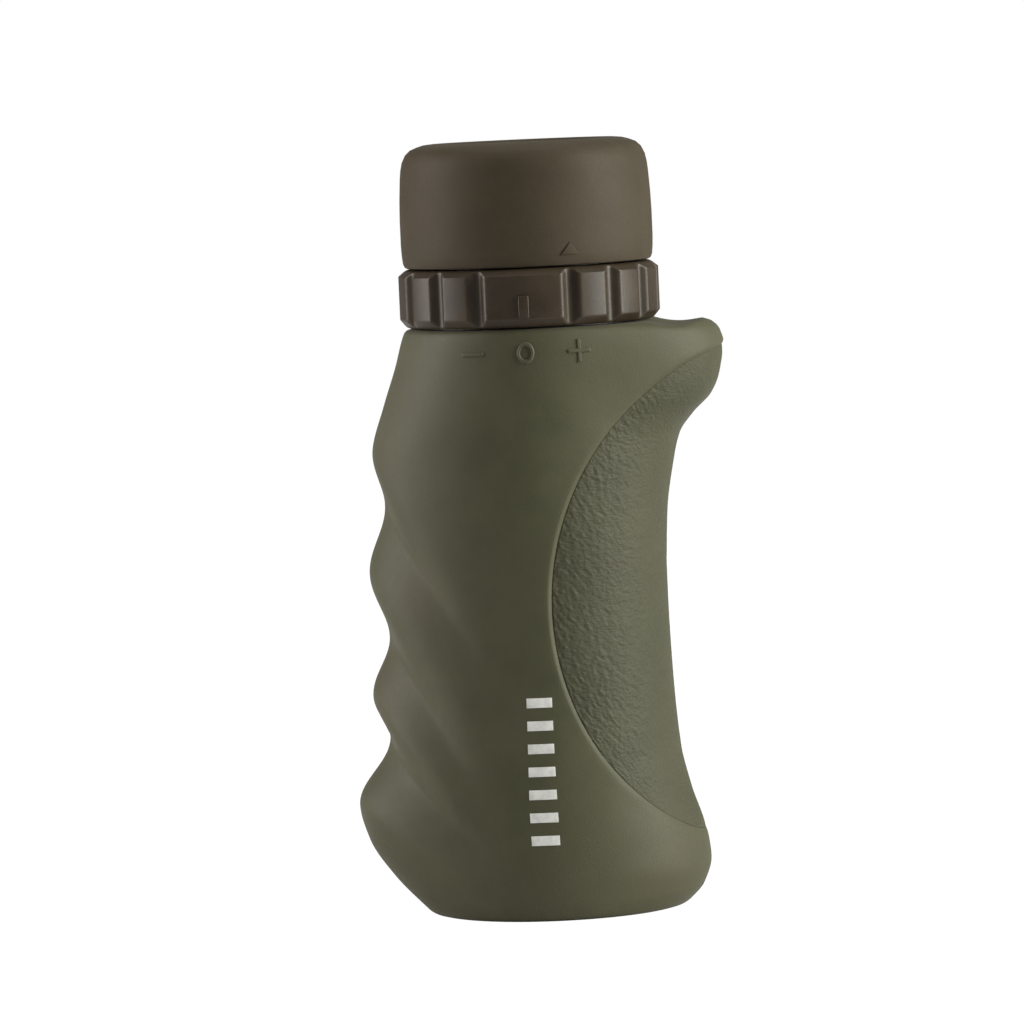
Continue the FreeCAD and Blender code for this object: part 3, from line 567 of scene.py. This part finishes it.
WRINKLE_LEAN = math.radians(50)
WRINKLE_LONG = 1.15
WRINKLE_SHORT = 0.44
WRINKLE_DEEP = 0.12
FOLD_LONG = 1.6
FOLD_SHORT = 0.5
FOLD_DEEP = 0.10
WANDER = 0.9
WANDER_OVER = 3.5
PALM_R = 20.3
PALM_FROM = 0.35
PALM_OVER = 0.45
PALM_SHARE = 0.22
FOOT_FROM = 10.0
FOOT_OVER = 24.0
FOOT_SHARE = 0.3


def wrinkle(turn, z):
    """Height in mm of the moulded wrinkles; they fade towards the palm and the foot."""
    across = -abs(turn) * PALM_R
    side = 0.0 if turn < 0 else 57.0
    wander = noise.noise(Vector((across / WANDER_OVER, z / WANDER_OVER, side))) * WANDER
    along = across * math.cos(WRINKLE_LEAN) - z * math.sin(WRINKLE_LEAN) + wander
    over = across * math.sin(WRINKLE_LEAN) + z * math.cos(WRINKLE_LEAN) - 0.6 * wander
    near = noise.voronoi(Vector((along / WRINKLE_LONG, over / WRINKLE_SHORT, side + 3.0)))[0]
    cell = min((near[1] - near[0]) * 2.0, 1.0)
    fold = noise.noise(Vector((along / FOLD_LONG, over / FOLD_SHORT, side + 9.0)))
    off_palm = min(max((abs(turn) - PALM_FROM) / PALM_OVER, 0.0), 1.0)
    strength = PALM_SHARE + (1 - PALM_SHARE) * off_palm * off_palm * (3 - 2 * off_palm)
    strength *= FOOT_SHARE + (1 - FOOT_SHARE) * min(max((z - FOOT_FROM) / FOOT_OVER, 0.0), 1.0)
    return strength * (WRINKLE_DEEP * math.sqrt(cell) + FOLD_DEEP * (fold - 1))


half_turns = {}


def pad_point(across, t):
    """Point of the pad: across runs -1 to 1 over the top, then 1 to 3 back beneath it."""
    z = PAD_LOW + (PAD_HIGH - PAD_LOW) * t
    key = round(z, 5)
    if key not in half_turns:
        half_turns[key] = pad_half_turn(z)
    if across <= 1:
        turn = half_turns[key] * ((1 + PAD_SPREAD) * across - PAD_SPREAD * across ** 3)
        edge = quarter(-past_crease(turn, z) - PAD_GAP, PAD_ROUND)
        return grip_point(turn, z, step_drop(z) + edge - wrinkle(turn, z))
    return grip_point(half_turns[key] * (2 - across), z, PAD_UNDER)


ALL_COLUMNS = PAD_COLUMNS + UNDER_COLUMNS
bpy.ops.object.select_all(action="DESELECT")
bpy.ops.mesh.primitive_grid_add(x_subdivisions=ALL_COLUMNS, y_subdivisions=PAD_ROWS, size=1.0)
pad = started("palm_pad_skin")
bpy.ops.object.mode_set(mode="OBJECT")
for v in pad.data.vertices:
    column = (v.co.x + 0.5) * ALL_COLUMNS
    if column <= PAD_COLUMNS + 0.01:
        across = min(2 * column / PAD_COLUMNS - 1, 1.0)
    else:
        across = 1 + 2 * (column - PAD_COLUMNS) / UNDER_COLUMNS
    w = v.co.y + 0.5
    crowded = 0.5 * (1 - math.cos(math.pi * w))
    v.co = pad_point(across, (1 - ROW_CROWD) * w + ROW_CROWD * crowded) * MM
closed_up(pad, 60.0)

pad_rubber = rubber("pad_rubber", (0.041, 0.042, 0.022), (0.051, 0.052, 0.027),
                    (0.055, 0.049, 0.028), 0.60, 3800.0, 0.00006)
pad_nodes = pad_rubber.node_tree.nodes
pad_links = pad_rubber.node_tree.links
pad_place = pad_nodes.new("ShaderNodeTexCoord")
slant = pad_nodes.new("ShaderNodeMapping")
slant.inputs["Rotation"].default_value = (0.0, -WRINKLE_LEAN, 0.0)
slant.inputs["Scale"].default_value = (0.45, 1.0, 1.25)
creases = pad_nodes.new("ShaderNodeTexNoise")
creases.inputs["Scale"].default_value = 2300.0
creases.inputs["Detail"].default_value = 1.5
pad_links.new(pad_place.outputs["Object"], slant.inputs["Vector"])
pad_links.new(slant.outputs["Vector"], creases.inputs["Vector"])
fold_bump = pad_nodes.new("ShaderNodeBump")
fold_bump.inputs["Strength"].default_value = 0.7
fold_bump.inputs["Distance"].default_value = 0.00018
grain_bump = pad_nodes["Bump"]
pad_links.new(creases.outputs[0], fold_bump.inputs["Height"])
pad_links.new(grain_bump.outputs["Normal"], fold_bump.inputs["Normal"])
pad_links.new(fold_bump.outputs["Normal"], pad_nodes["Principled BSDF"].inputs["Normal"])
pad.data.materials.append(pad_rubber)
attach(pad, "body")
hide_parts("palm_pad")


# ------------------------------------------------------------------ focus scale marks
# The minus, the nought and the plus are low relief in the armour's own rubber, moulded with
# it. Their colour is set a touch lighter than the armour's, as painted highlight for their raised tops.
MARK_Z = 88.3
MARK_TURN = math.radians(23.5)
MARK_RAISE = 0.22
MARK_STROKE = 0.6
MARK_HALF = 1.8
MARK_SUNK = 0.3
MARK_EDGE = 0.14
NOUGHT_R = 1.33
NOUGHT_WIRE = 0.33
NOUGHT_NARROW = 0.82


def lay_on_grip(piece, turn, height, radius=20.2):
    """Wraps a flat piece round the armour. Its x runs round, its z up and its y outwards, in mm."""
    for v in piece.data.vertices:
        v.co = grip_point(turn + v.co.x / radius, height + v.co.z, -v.co.y) * MM


def raised_bar(name, wide, tall, thick, sunk, rounding, splits):
    """Low bar with rounded edges, flat on the x-z plane, in mm."""
    bpy.ops.object.select_all(action="DESELECT")
    bpy.ops.mesh.primitive_cube_add(size=1.0)
    piece = started(name)
    bpy.ops.mesh.select_all(action="SELECT")
    bpy.ops.transform.resize(value=(wide, thick + sunk, tall))
    bpy.ops.transform.translate(value=(0, (thick - sunk) / 2, 0))
    bpy.ops.mesh.bevel(offset=rounding, segments=3, affect="EDGES")
    for i in range(1, splits):
        bpy.ops.mesh.select_all(action="SELECT")
        x = -wide / 2 + wide * i / splits
        bpy.ops.mesh.bisect(plane_co=(x, 0, 0), plane_no=(1, 0, 0))
    bpy.ops.object.mode_set(mode="OBJECT")
    return piece


minus = raised_bar("mark_minus", 2 * MARK_HALF, MARK_STROKE, MARK_RAISE, MARK_SUNK, MARK_EDGE, 8)
lay_on_grip(minus, -math.pi / 2 - MARK_TURN, MARK_Z)
plus = raised_bar("mark_plus", 2 * MARK_HALF, MARK_STROKE, MARK_RAISE, MARK_SUNK, MARK_EDGE, 9)
raised_bar("mark_plus_upright", MARK_STROKE, 2 * MARK_HALF, MARK_RAISE, MARK_SUNK, MARK_EDGE, 3)
plus.select_set(True)
bpy.context.view_layer.objects.active = plus
bpy.ops.object.join()
lay_on_grip(plus, -math.pi / 2 + MARK_TURN, MARK_Z)
bpy.ops.object.select_all(action="DESELECT")
bpy.ops.mesh.primitive_torus_add(major_radius=NOUGHT_R, minor_radius=NOUGHT_WIRE, major_segments=48,
                                 minor_segments=12, rotation=(math.pi / 2, 0, 0))
nought = started("mark_nought")
bpy.ops.object.mode_set(mode="OBJECT")
bpy.ops.object.transform_apply(location=True, rotation=True, scale=True)
for v in nought.data.vertices:
    v.co.x *= NOUGHT_NARROW
lay_on_grip(nought, -math.pi / 2, MARK_Z)
# Painted highlight: these colours are a little lighter than the armour's, standing in for light on the
# marks' raised tops.
mark_rubber_painted_highlight = rubber("mark_rubber_painted_highlight", (0.054, 0.054, 0.029), (0.067, 0.065, 0.036),
                     (0.070, 0.060, 0.036), 0.50, 4200.0, 0.00002)
for mark in (minus, plus, nought):
    bpy.ops.object.select_all(action="DESELECT")
    mark.select_set(True)
    bpy.context.view_layer.objects.active = mark
    closed_up(mark, 60.0)
    mark.data.materials.append(mark_rubber_painted_highlight)
    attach(mark, "body")


# ------------------------------------------------------------------ printed bars
# A plain column of white bars is pad-printed low on the front of the armour, in a thin film
# of matt ink with slightly worn edges.
BAR_WIDE = 3.4
BAR_TALL = 1.5
BAR_COUNT = 7
BARS_FROM = 12.8
BARS_TO = 34.2
BARS_ON_R = 20.6
INK_THICK = 0.05
INK_SUNK = 0.1
INK_EDGE = 0.02

white_ink = grained("white_ink", (0.52, 0.52, 0.50), (0.68, 0.68, 0.66), 0.55, 5200.0, 900.0, 0.00001)
bars = []
for i in range(BAR_COUNT):
    bar = raised_bar("printed_bar_%d" % (i + 1), BAR_WIDE, BAR_TALL, INK_THICK, INK_SUNK, INK_EDGE, 8)
    height = BARS_FROM + (BARS_TO - BARS_FROM) * i / (BAR_COUNT - 1)
    lay_on_grip(bar, -math.pi / 2, height, BARS_ON_R)
    bars.append(bar)
bpy.ops.object.select_all(action="DESELECT")
for bar in bars:
    bar.select_set(True)
bpy.context.view_layer.objects.active = bars[0]
bpy.ops.object.join()
printed = bars[0]
printed.name = "printed_bars"
closed_up(printed, 40.0)
printed.data.materials.append(white_ink)
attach(printed, "body")


# ------------------------------------------------------------------ eyepiece barrel
# The eyepiece tube and its retainer are black anodised like the objective cell, and the
# three eyepiece lenses above the field stop carry the same kind of coating.
for name in ("eyepiece_tube", "eye_lens_retainer", "focus_lens_cell", "focus_lens_retainer"):
    finish_node(name, black_anodised)
eyepiece_glass = coated("eyepiece_glass", (0.66, 0.82, 0.74), (0.86, 0.76, 0.90))
for name in ("field_lens", "eyepiece_flint", "eyepiece_crown", "eye_lens", "focus_lens"):
    finish_node(name, eyepiece_glass)

# The washers, the cam sleeve and the eyecup's guide are low-friction acetal, slightly waxy.
acetal = grained("acetal", (0.013, 0.013, 0.014), (0.021, 0.021, 0.021), 0.42, 4000.0, 120.0, 0.00001)
for name in ("ring_washer_lower", "ring_washer_upper", "focus_cam_sleeve", "eyecup_guide",
             "eyecup_click_ring", "eyecup_sleeve"):
    finish_node(name, acetal)


# ------------------------------------------------------------------ focus ring
# The focus ring is moulded in dark brown rubber-coated nylon, and is pressed on the cam sleeve.
# Sixteen tapered grooves divide it, and the wide land in front carries the raised index.
RING_FROM = 92.2
RING_TO = 101.2
RING_R = 20.4
RING_BORE = 15.05
RING_PROFILE = ((92.2, 19.35), (93.45, 20.4), (100.2, 20.4), (101.2, 19.15))
RING_CORNER = 0.15
RING_DIVISIONS = 17
GROOVE_FLOOR = 0.85
GROOVE_MOUTH = 2.9
GROOVE_IN = 1.0
GROOVE_SLOPE = GROOVE_IN / ((GROOVE_MOUTH - GROOVE_FLOOR) / 2)
GROOVE_SOFT = 0.22
LAND_CLEAR = 0.6
INDEX_WIDE = 1.6
INDEX_FROM = 93.6
INDEX_TO = 97.1
INDEX_RAISE = 0.5
INDEX_SUNK = 0.4
INDEX_EDGE = 0.18
DIVISION_STEPS = 28
RING_HEIGHT_STEPS = 44
RING_SIDE_STEPS = 4


def ring_profile(z):
    """Outer radius of the blank ring before its grooves."""
    for (z0, r0), (z1, r1) in zip(RING_PROFILE, RING_PROFILE[1:]):
        if z <= z1:
            return r0 + (r1 - r0) * (z - z0) / (z1 - z0)
    return RING_PROFILE[-1][1]


def soft_min(a, b, r):
    """Lesser of two radii, with the corner between them rounded by r."""
    h = min(max(0.5 + 0.5 * (b - a) / r, 0.0), 1.0)
    return b * (1 - h) + a * h - r * h * (1 - h)


def ring_radius(turn, z):
    """Outer radius with the grooves; the division at the front has none."""
    pitch = 2 * math.pi / RING_DIVISIONS
    from_front = turn + math.pi / 2
    nearest = round(from_front / pitch)
    away = abs(from_front - nearest * pitch) * RING_R
    land = RING_R + LAND_CLEAR
    if nearest % RING_DIVISIONS != 0:
        land = RING_R - GROOVE_IN + max(away - GROOVE_FLOOR / 2, 0.0) * GROOVE_SLOPE
    return soft_min(ring_profile(z), land, GROOVE_SOFT)


def ring_point(turn, q):
    """Closed section of the ring: up the outside, in, down the bore, out."""
    if q <= 1:
        z = RING_FROM + (RING_TO - RING_FROM) * q
        corner = quarter(z - RING_FROM, RING_CORNER) + quarter(RING_TO - z, RING_CORNER)
        r = ring_radius(turn, z) - corner
    elif q <= 2:
        z = RING_TO
        r = (ring_radius(turn, z) - RING_CORNER) * (2 - q) + RING_BORE * (q - 1)
    elif q <= 3:
        z = RING_TO - (RING_TO - RING_FROM) * (q - 2)
        r = RING_BORE
    else:
        z = RING_FROM
        r = RING_BORE * (4 - q) + (ring_radius(turn, z) - RING_CORNER) * (q - 3)
    return Vector((r * math.cos(turn), r * math.sin(turn), z))


RING_ROWS = RING_HEIGHT_STEPS + 3 * RING_SIDE_STEPS
bpy.ops.object.select_all(action="DESELECT")
bpy.ops.mesh.primitive_grid_add(x_subdivisions=RING_DIVISIONS * DIVISION_STEPS,
                                y_subdivisions=RING_ROWS, size=1.0)
focus = started("focus_ring_skin")
bpy.ops.object.mode_set(mode="OBJECT")
for v in focus.data.vertices:
    row = (v.co.y + 0.5) * RING_ROWS
    q = row / RING_HEIGHT_STEPS
    if row > RING_HEIGHT_STEPS:
        q = 1 + (row - RING_HEIGHT_STEPS) / RING_SIDE_STEPS
    v.co = ring_point(2 * math.pi * v.co.x, q) * MM
closed_up(focus, 45.0)

# The index is a small bar with rounded edges, moulded with the ring on its front land.
bpy.ops.object.select_all(action="DESELECT")
bpy.ops.mesh.primitive_cube_add(size=1.0)
index = started("focus_index")
bpy.ops.mesh.select_all(action="SELECT")
bpy.ops.transform.resize(value=(INDEX_WIDE, INDEX_RAISE + INDEX_SUNK, INDEX_TO - INDEX_FROM))
bpy.ops.mesh.bevel(offset=INDEX_EDGE, segments=3, affect="EDGES")
bpy.ops.object.mode_set(mode="OBJECT")
for v in index.data.vertices:
    out = RING_R + (INDEX_RAISE - INDEX_SUNK) / 2 + v.co.y
    turn = -math.pi / 2 + v.co.x / RING_R
    up = (INDEX_FROM + INDEX_TO) / 2 + v.co.z
    v.co = Vector((out * math.cos(turn), out * math.sin(turn), up)) * MM
closed_up(index, 50.0)

ring_nylon = grained("ring_nylon", (0.028, 0.019, 0.011), (0.041, 0.029, 0.017),
                     0.40, 3600.0, 170.0, 0.00003, specular=0.30)
for piece in (focus, index):
    piece.data.materials.append(ring_nylon)
    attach(piece, "focus_ring")
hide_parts("focus_ring")


# ------------------------------------------------------------------ eyecup
# The eyecup is a thick matt rubber cup with a rolled lip, stretched over the acetal sleeve.
# Its side swells a little, and a small raised triangle shows where it is turned to.
# The profile below is (radius, height) in mm: along the foot, up the outside, over the lip
# and in to the bore. The bore is open, because it lies against the sleeve.
CUP = ((17.65, 101.45), (19.0, 101.45), (19.3, 101.6), (19.55, 102.2), (19.68, 103.4), (19.75, 105.0),
       (19.75, 107.0), (19.75, 109.0), (19.66, 112.0), (19.45, 115.5), (19.3, 116.8), (19.05, 117.95),
       (18.5, 119.1), (17.7, 119.85), (16.6, 120.3), (15.6, 120.58), (14.4, 120.7), (13.7, 120.6),
       (13.2, 120.3), (12.9, 119.8), (12.9, 119.05), (17.65, 119.05))
CUP_STEPS = 144
ARROW_TALL = 1.9
ARROW_HALF = 1.5
ARROW_THICK = 0.6
ARROW_EDGE = 0.1
ARROW_R = 19.62
ARROW_WRAP_R = 19.7
ARROW_FROM = 103.1
ARROW_TURN = math.radians(22)

bpy.ops.object.select_all(action="DESELECT")
bpy.ops.mesh.primitive_plane_add(size=1.0)
cup = started("eyecup_skin")
bpy.ops.mesh.delete(type="VERT")
bpy.ops.object.mode_set(mode="OBJECT")
profile = [(r * MM, 0.0, z * MM) for r, z in CUP]
cup.data.from_pydata(profile, [(i, i + 1) for i in range(len(CUP) - 1)], [])
cup.data.update()
bpy.ops.object.mode_set(mode="EDIT")
bpy.ops.mesh.select_mode(type="VERT")
bpy.ops.mesh.select_all(action="SELECT")
bpy.ops.mesh.spin(steps=CUP_STEPS, angle=2 * math.pi, center=(0, 0, 0), axis=(0, 0, 1), dupli=False)
closed_up(cup, 35.0)

eyecup_rubber = rubber("eyecup_rubber", (0.044, 0.034, 0.021), (0.052, 0.041, 0.026),
                       (0.055, 0.041, 0.026), 0.56, 3200.0, 0.00004, specular=0.12, sheen=0.03)
cup.data.materials.append(eyecup_rubber)
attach(cup, "eyecup")
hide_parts("eyecup_rubber")

bpy.ops.object.select_all(action="DESELECT")
bpy.ops.mesh.primitive_cylinder_add(vertices=3, radius=1.0, depth=ARROW_THICK,
                                    rotation=(math.pi / 2, 0, 0))
arrow = started("eyecup_arrow")
bpy.ops.object.mode_set(mode="OBJECT")
bpy.ops.object.transform_apply(location=True, rotation=True, scale=True)
low = min(v.co.z for v in arrow.data.vertices)
high = max(v.co.z for v in arrow.data.vertices)
wide = max(v.co.x for v in arrow.data.vertices)
for v in arrow.data.vertices:
    v.co.z = ARROW_TALL * (v.co.z - low) / (high - low)
    v.co.x = ARROW_HALF * v.co.x / wide
    v.co.y = -v.co.y
bpy.ops.object.mode_set(mode="EDIT")
bpy.ops.mesh.select_all(action="SELECT")
bpy.ops.mesh.bevel(offset=ARROW_EDGE, segments=2, affect="EDGES")
bpy.ops.object.mode_set(mode="OBJECT")
for v in arrow.data.vertices:
    out = ARROW_R + v.co.y
    turn = -math.pi / 2 + ARROW_TURN + v.co.x / ARROW_WRAP_R
    v.co = Vector((out * math.cos(turn), out * math.sin(turn), ARROW_FROM + v.co.z)) * MM
closed_up(arrow, 50.0)
arrow.data.materials.append(eyecup_rubber)
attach(arrow, "eyecup")


# ------------------------------------------------------------------ studio
# A plain white floor, one large soft light on each side and one above. The floor and the
# air look white to the camera and light the object only a little, so its shading stays deep.
FLOOR_DROP = 0.00002
bpy.ops.object.select_all(action="DESELECT")
bpy.ops.mesh.primitive_plane_add(size=8.0, location=(0, 0, -FLOOR_DROP))
floor = bpy.context.object
floor.name = "studio_floor"
floor_paint = grained("floor_paint", (0.60, 0.60, 0.60), (0.62, 0.62, 0.62), 0.8, 60.0, 4.0, 0.0001)
floor_nodes = floor_paint.node_tree.nodes
lit = floor_nodes.new("ShaderNodeEmission")
lit.inputs["Color"].default_value = (1.0, 1.0, 1.0, 1.0)
lit.inputs["Strength"].default_value = 1.12
floor_path = floor_nodes.new("ShaderNodeLightPath")
floor_share = floor_nodes.new("ShaderNodeMath")
floor_share.operation = "MULTIPLY"
floor_share.inputs[1].default_value = 0.88
floor_mix = floor_nodes.new("ShaderNodeMixShader")
floor_links = floor_paint.node_tree.links
floor_links.new(floor_path.outputs["Is Camera Ray"], floor_share.inputs[0])
floor_links.new(floor_share.outputs[0], floor_mix.inputs[0])
floor_links.new(floor_nodes["Principled BSDF"].outputs[0], floor_mix.inputs[1])
floor_links.new(lit.outputs[0], floor_mix.inputs[2])
floor_links.new(floor_mix.outputs[0], floor_nodes["Material Output"].inputs["Surface"])
floor.data.materials.append(floor_paint)
floor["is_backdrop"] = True


def soft_light(name, place, aim, wide, tall, power, colour):
    """Rectangular area light that the camera doesn't see."""
    light = bpy.data.lights.new(name, "AREA")
    light.shape = "RECTANGLE"
    light.size = wide
    light.size_y = tall
    light.energy = power
    light.color = colour
    lamp = bpy.data.objects.new(name, light)
    bpy.context.scene.collection.objects.link(lamp)
    lamp.location = place
    lamp.rotation_mode = "QUATERNION"
    lamp.rotation_quaternion = (Vector(aim) - Vector(place)).to_track_quat("-Z", "Y")
    lamp.visible_camera = False


MIDDLE = (0, 0, 0.06)
soft_light("light_left", (-0.95, -0.02, 0.35), MIDDLE, 0.6, 0.9, 12.9, (1.0, 0.97, 0.93))
soft_light("light_right", (0.92, -0.19, 0.35), MIDDLE, 0.5, 0.9, 21.0, (0.985, 1.0, 0.94))
soft_light("light_top", (0.0, 0.1, 1.1), MIDDLE, 0.8, 0.8, 3.0, (1.0, 1.0, 1.0))

world = bpy.data.worlds.new("studio_air")
bpy.context.scene.world = world
world.use_nodes = True
air = world.node_tree.nodes
seen = air["Background"]
seen.inputs["Color"].default_value = (1.0, 1.0, 1.0, 1.0)
seen.inputs["Strength"].default_value = 1.0
fill = air.new("ShaderNodeBackground")
fill.inputs["Color"].default_value = (1.0, 1.0, 1.0, 1.0)
fill.inputs["Strength"].default_value = 0.15
path = air.new("ShaderNodeLightPath")
both = air.new("ShaderNodeMixShader")
world.node_tree.links.new(path.outputs["Is Camera Ray"], both.inputs[0])
world.node_tree.links.new(fill.outputs[0], both.inputs[1])
world.node_tree.links.new(seen.outputs[0], both.inputs[2])
world.node_tree.links.new(both.outputs[0], air["World Output"].inputs["Surface"])
bpy.context.scene.view_settings.view_transform = "Standard"

CAMERA_FAR = 1.05
CAMERA_ROUND = math.radians(2.6)
CAMERA_HEIGHT = 0.1345
CAMERA_LEAN = math.radians(-2.55)
camera = bpy.data.cameras.new("camera")
camera.lens = 235.5
camera.sensor_width = 36.0
eye = bpy.data.objects.new("camera", camera)
bpy.context.scene.collection.objects.link(eye)
eye.location = (CAMERA_FAR * math.sin(CAMERA_ROUND), -CAMERA_FAR * math.cos(CAMERA_ROUND), CAMERA_HEIGHT)
eye.rotation_mode = "QUATERNION"
look = (Vector((-0.0042, 0.0, 0.0625)) - eye.location).to_track_quat("-Z", "Y")
eye.rotation_quaternion = look @ Quaternion((0, 0, 1), CAMERA_LEAN)
bpy.context.scene.camera = eye

low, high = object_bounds()
